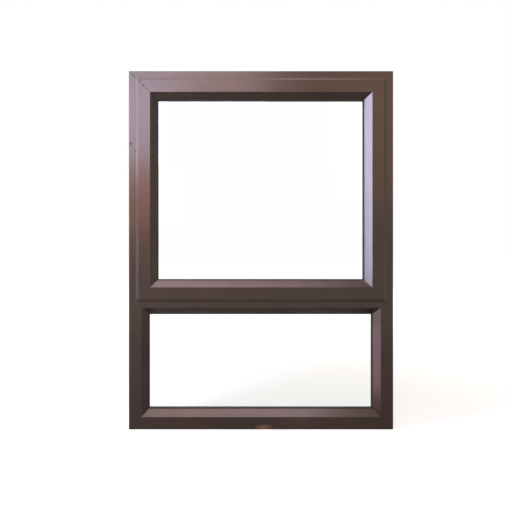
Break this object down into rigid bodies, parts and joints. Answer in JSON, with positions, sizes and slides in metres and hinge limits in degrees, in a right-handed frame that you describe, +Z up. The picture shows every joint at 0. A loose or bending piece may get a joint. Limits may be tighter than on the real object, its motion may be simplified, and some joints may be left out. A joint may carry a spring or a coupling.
{
  "type": "aluminium window",
  "caption": "Bronze aluminium window: a top-hung opening sash above a transom, a fixed light below, mitred hollow profiles, splayed glazing beads, clear glass.",
  "frame": {"origin": "middle of the underside of the sill, halfway through the depth of the outer frame", "axes": "+X to the right as seen from outside, +Y from the weather side to the room side, +Z up"},
  "size_m": [0.59, 0.0445, 0.8],
  "materials": {
    "bronze_aluminium": "satin",
    "clear_glass": "gloss",
    "black_rubber": "matte",
    "handle_metal": "satin",
    "stainless_steel": "satin"
  },
  "bodies": {
    "root": {"frame_head": "bronze_aluminium", "frame_sill": "bronze_aluminium", "frame_jamb_left": "bronze_aluminium", "frame_jamb_right": "bronze_aluminium", "transom": "bronze_aluminium", "sash_top_rail": "bronze_aluminium", "sash_bottom_rail": "bronze_aluminium", "sash_stile_left": "bronze_aluminium", "sash_stile_right": "bronze_aluminium", "sash_bead_top": "bronze_aluminium", "sash_bead_bottom": "bronze_aluminium", "sash_bead_left": "bronze_aluminium", "sash_bead_right": "bronze_aluminium", "fixed_bead_top": "bronze_aluminium", "fixed_bead_bottom": "bronze_aluminium", "fixed_bead_left": "bronze_aluminium", "fixed_bead_right": "bronze_aluminium", "sash_glass": "clear_glass", "fixed_glass": "clear_glass", "sash_gasket_outer": "black_rubber", "sash_gasket_inner": "black_rubber", "fixed_gasket_outer": "black_rubber", "fixed_gasket_inner": "black_rubber", "weather_seal_outer": "black_rubber", "weather_seal_inner": "black_rubber", "handle_base": "handle_metal", "handle_lever": "handle_metal", "handle_pivot": "stainless_steel", "handle_screw_left": "stainless_steel", "handle_screw_right": "stainless_steel", "strike_plate": "stainless_steel", "stay_track_left": "stainless_steel", "stay_slider_left": "stainless_steel", "stay_long_arm_left": "stainless_steel", "stay_short_arm_left": "stainless_steel", "stay_sash_bar_left": "stainless_steel", "stay_track_right": "stainless_steel", "stay_slider_right": "stainless_steel", "stay_long_arm_right": "stainless_steel", "stay_short_arm_right": "stainless_steel", "stay_sash_bar_right": "stainless_steel"}
  },
  "joints": []
}
